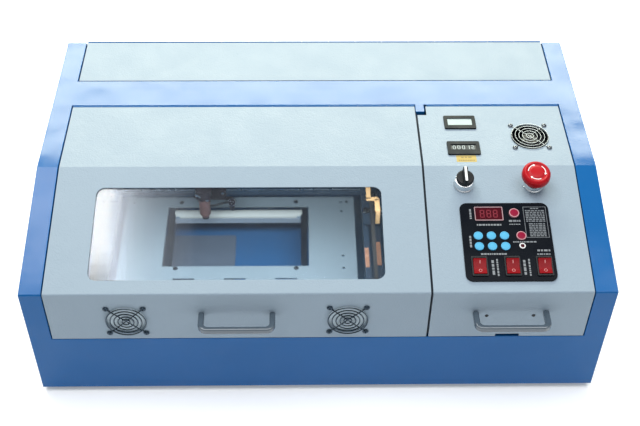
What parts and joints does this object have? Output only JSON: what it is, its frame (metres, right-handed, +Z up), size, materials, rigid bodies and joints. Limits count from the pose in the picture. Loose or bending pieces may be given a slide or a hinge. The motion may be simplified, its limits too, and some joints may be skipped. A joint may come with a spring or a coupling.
{
  "type": "desktop laser cutter",
  "caption": "Steel-cased desktop laser cutter with a windowed front lid over the work bay, a hinged control lid, a rear tube bay lid and a moving gantry with a laser head.",
  "frame": {"origin": "under the middle of the case, on the surface that its feet stand on", "axes": "+X to the right of a person in front of it, +Y to the back, +Z up"},
  "size_m": [0.8, 0.564, 0.2888],
  "materials": {
    "case_blue": "glossy blue enamel",
    "lid_grey": "pale grey-blue powder coat with a fine orange-peel",
    "inner_steel": "plain grey coated steel",
    "bright_metal": "brushed",
    "chrome_wire": "polished",
    "steel_pins": "plain",
    "dark_rail": "black anodised",
    "motor_black": "black stepper motor body",
    "rubber_black": "matt",
    "tube_glass": "clear",
    "window_acrylic": "clear acrylic",
    "board_green": "circuit board",
    "bezel_grey": "satin dark grey",
    "black_plastic": "satin black",
    "faceplate_black": "black overlay film",
    "display_red": "dark red display window",
    "stem_grey": "pale grey",
    "signal_red": "glossy red",
    "button_blue": "pale blue"
  },
  "bodies": {
    "chassis": {"base_pan": "case_blue", "front_panel": "case_blue", "left_side_panel": "case_blue", "right_side_panel": "case_blue", "rear_panel": "case_blue", "top_frame": "case_blue", "tube_bay_wall": "inner_steel", "electronics_wall": "case_blue", "rubber_feet": "rubber_black", "hinge_frame_leaves": "case_blue", "hinge_pins": "steel_pins", "bed_plate": "inner_steel", "bed_studs": "steel_pins", "clamp_rails": "dark_rail", "y_rails": "dark_rail", "y_motor": "motor_black", "laser_tube": "tube_glass", "tube_clamps": "dark_rail", "laser_power_supply": "inner_steel", "controller_board": "board_green", "exhaust_outlet": "inner_steel", "rear_fittings": "black_plastic"},
    "clamp": {"clamp_jaw": "bright_metal"},
    "drive_shaft": {"y_drive_shaft": "steel_pins"},
    "gantry": {"gantry_beam": "dark_rail", "x_motor": "motor_black"},
    "head": {"laser_head": "dark_rail"},
    "front_cover": {"front_lid": "lid_grey", "front_lid_leaf": "case_blue", "lid_window": "window_acrylic", "lid_handle": "bright_metal", "lid_vent_guards": "chrome_wire"},
    "rear_cover": {"rear_lid": "lid_grey", "rear_lid_leaf": "case_blue"},
    "control_cover": {"control_lid": "lid_grey", "control_lid_leaf": "case_blue", "control_handle": "bright_metal", "temperature_display": "bezel_grey", "hour_counter": "bezel_grey", "switch_collars": "bright_metal", "fan_frame": "black_plastic", "fan_guard": "chrome_wire", "control_faceplate": "faceplate_black", "power_display": "display_red", "rocker_frames": "black_plastic"},
    "selector": {"selector_knob": "black_plastic"},
    "estop_plunger": {"estop_stem": "stem_grey"},
    "estop_mushroom": {"estop_head": "signal_red"},
    "rotor": {"fan_rotor": "black_plastic"},
    "laser_switch": {"laser_switch_button": "signal_red"},
    "test_key": {"test_button": "signal_red"},
    "regulator_key_1": {"regulator_button_1": "button_blue"},
    "regulator_key_2": {"regulator_button_2": "button_blue"},
    "regulator_key_3": {"regulator_button_3": "button_blue"},
    "regulator_key_4": {"regulator_button_4": "button_blue"},
    "regulator_key_5": {"regulator_button_5": "button_blue"},
    "regulator_key_6": {"regulator_button_6": "button_blue"},
    "rocker_1": {"rocker_switch_1": "signal_red"},
    "rocker_2": {"rocker_switch_2": "signal_red"},
    "rocker_3": {"rocker_switch_3": "signal_red"}
  },
  "joints": [
    {"name": "front_lid_hinge", "type": "hinge", "parent": "chassis", "child": "front_cover", "pos_m": [0, 0.0865, 0.2588], "axis": [-1, 0, 0], "range_deg": [0, 105]},
    {"name": "control_lid_hinge", "type": "hinge", "parent": "chassis", "child": "control_cover", "pos_m": [0.26, 0.0865, 0.2588], "axis": [-1, 0, 0], "range_deg": [0, 105]},
    {"name": "rear_lid_hinge", "type": "hinge", "parent": "chassis", "child": "rear_cover", "pos_m": [0, 0.252, 0.2588], "axis": [-1, 0, 0], "range_deg": [0, 105]},
    {"name": "gantry_slide", "type": "slide", "parent": "chassis", "child": "gantry", "axis": [0, -1, 0], "range_m": [0, 0.2]},
    {"name": "head_slide", "type": "slide", "parent": "gantry", "child": "head", "axis": [1, 0, 0], "range_m": [-0.1, 0.19]},
    {"name": "drive_shaft_spin", "type": "hinge", "parent": "chassis", "child": "drive_shaft", "pos_m": [0, 0.118, 0.128], "axis": [1, 0, 0], "range_deg": [-10, 1800]},
    {"name": "clamp_slide", "type": "slide", "parent": "chassis", "child": "clamp", "axis": [0, -1, 0], "range_m": [0, 0.085]},
    {"name": "selector_turn", "type": "hinge", "parent": "control_cover", "child": "selector", "pos_m": [0.2065, -0.0816, 0.25242], "axis": [0, -0.2334, 0.9724], "range_deg": [-45, 45]},
    {"name": "estop_push", "type": "slide", "parent": "control_cover", "child": "estop_plunger", "axis": [0, 0.2334, -0.9724], "range_m": [0, 0.005], "stiffness_N_per_m": 1500},
    {"name": "estop_twist", "type": "hinge", "parent": "estop_plunger", "child": "estop_mushroom", "pos_m": [0.305, -0.08209, 0.2523], "axis": [0, 0.2334, -0.9724], "range_deg": [0, 35], "stiffness_Nm_per_rad": 0.05},
    {"name": "fan_spin", "type": "hinge", "parent": "control_cover", "child": "rotor", "pos_m": [0.314, 0.013, 0.25], "axis": [0, 0, 1], "continuous": true},
    {"name": "laser_switch_push", "type": "slide", "parent": "control_cover", "child": "laser_switch", "axis": [0, 0.2334, -0.9724], "range_m": [0, 0.001], "stiffness_N_per_m": 300},
    {"name": "test_push", "type": "slide", "parent": "control_cover", "child": "test_key", "axis": [0, 0.2334, -0.9724], "range_m": [0, 0.0008], "stiffness_N_per_m": 300},
    {"name": "regulator_push_1", "type": "slide", "parent": "control_cover", "child": "regulator_key_1", "axis": [0, 0.2334, -0.9724], "range_m": [0, 0.0008], "stiffness_N_per_m": 300},
    {"name": "regulator_push_2", "type": "slide", "parent": "control_cover", "child": "regulator_key_2", "axis": [0, 0.2334, -0.9724], "range_m": [0, 0.0008], "stiffness_N_per_m": 300},
    {"name": "regulator_push_3", "type": "slide", "parent": "control_cover", "child": "regulator_key_3", "axis": [0, 0.2334, -0.9724], "range_m": [0, 0.0008], "stiffness_N_per_m": 300},
    {"name": "regulator_push_4", "type": "slide", "parent": "control_cover", "child": "regulator_key_4", "axis": [0, 0.2334, -0.9724], "range_m": [0, 0.0008], "stiffness_N_per_m": 300},
    {"name": "regulator_push_5", "type": "slide", "parent": "control_cover", "child": "regulator_key_5", "axis": [0, 0.2334, -0.9724], "range_m": [0, 0.0008], "stiffness_N_per_m": 300},
    {"name": "regulator_push_6", "type": "slide", "parent": "control_cover", "child": "regulator_key_6", "axis": [0, 0.2334, -0.9724], "range_m": [0, 0.0008], "stiffness_N_per_m": 300},
    {"name": "rocker_tilt_1", "type": "hinge", "parent": "control_cover", "child": "rocker_1", "pos_m": [0.2169, -0.2111, 0.21825], "axis": [-1, 0, 0], "range_deg": [0, 18]},
    {"name": "rocker_tilt_2", "type": "hinge", "parent": "control_cover", "child": "rocker_2", "pos_m": [0.2617, -0.2111, 0.21825], "axis": [-1, 0, 0], "range_deg": [0, 18]},
    {"name": "rocker_tilt_3", "type": "hinge", "parent": "control_cover", "child": "rocker_3", "pos_m": [0.3051, -0.2111, 0.21825], "axis": [-1, 0, 0], "range_deg": [0, 18]}
  ],
  "couplings": [
    {"joint": "drive_shaft_spin", "follows": "gantry_slide", "rad_per_m": 156.25}
  ]
}
